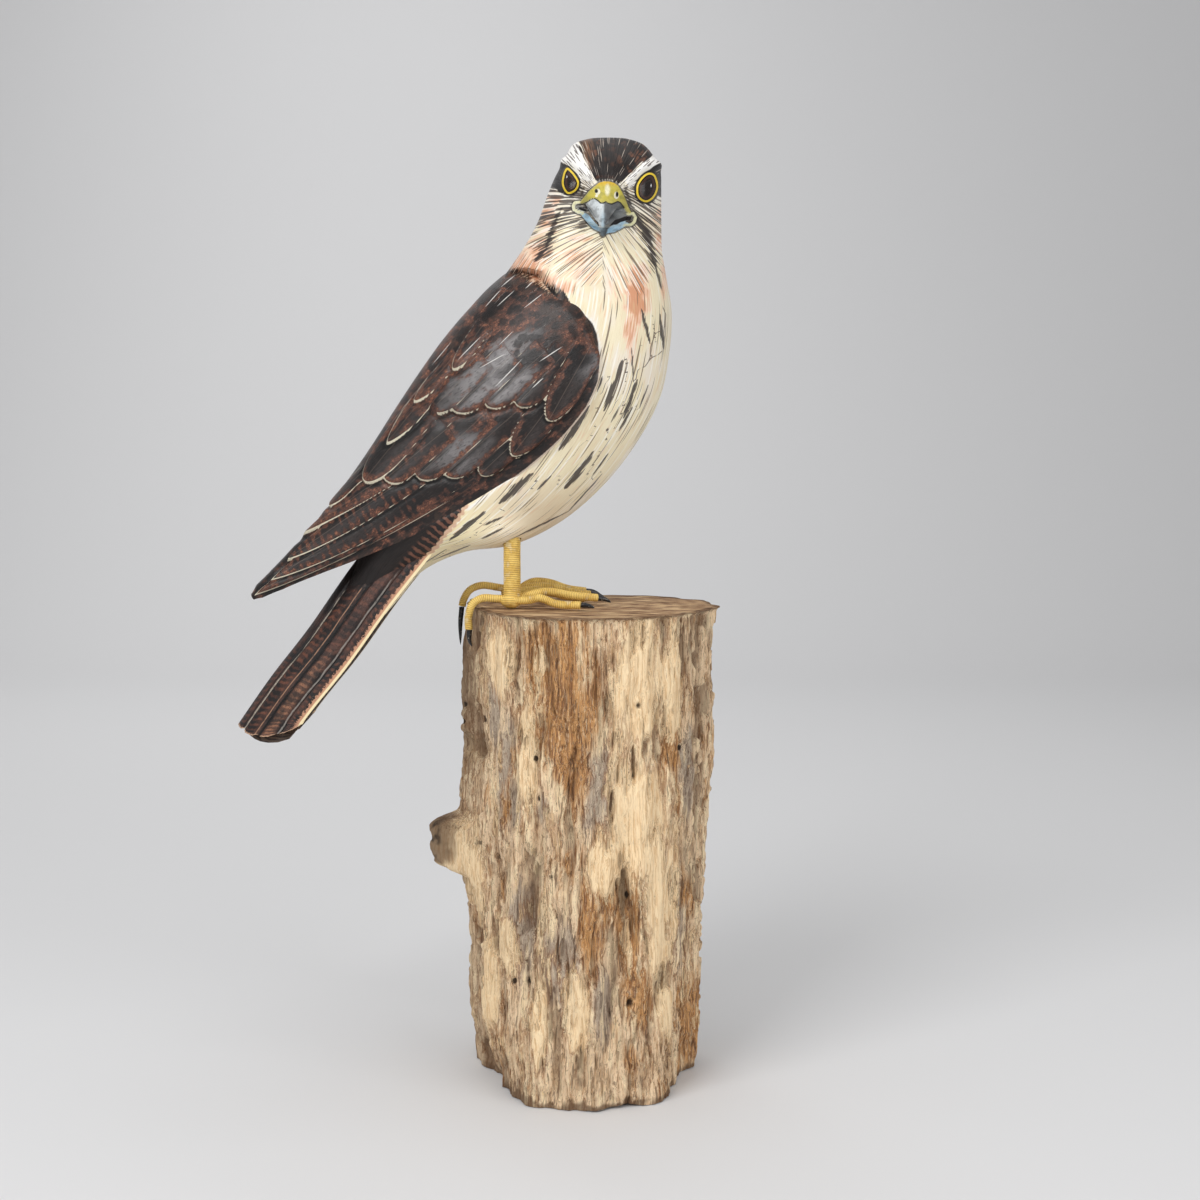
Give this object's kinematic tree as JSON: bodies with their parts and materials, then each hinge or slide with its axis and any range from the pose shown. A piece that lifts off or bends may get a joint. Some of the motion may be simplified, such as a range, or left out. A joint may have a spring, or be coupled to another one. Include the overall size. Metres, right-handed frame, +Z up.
{
  "type": "carved kestrel on post",
  "caption": "Carved and painted wooden kestrel decoy perched on a sawn, weathered log that is its stand.",
  "frame": {"origin": "on the log's flat underside, in the middle of the log", "axes": "+Z up along the log, +X the way the bird's body heads, -Y the side that its face looks to"},
  "size_m": [0.246, 0.1344, 0.4694],
  "materials": {
    "post_wood": "bare split wood, weathered tan and grey, matt",
    "painted_wood": "carved wood, hand painted brown and cream under satin varnish",
    "yellow_cord": "fine yellow binding cord wound tight and sealed",
    "black_claw": "black gloss paint"
  },
  "bodies": {
    "root": {"post": "post_wood", "bird": "painted_wood", "right_leg": "yellow_cord", "left_leg": "yellow_cord", "right_back_claw": "black_claw", "right_outer_claw": "black_claw", "right_middle_claw": "black_claw", "right_inner_claw": "black_claw", "left_back_claw": "black_claw", "left_outer_claw": "black_claw", "left_middle_claw": "black_claw", "left_inner_claw": "black_claw"}
  },
  "joints": []
}
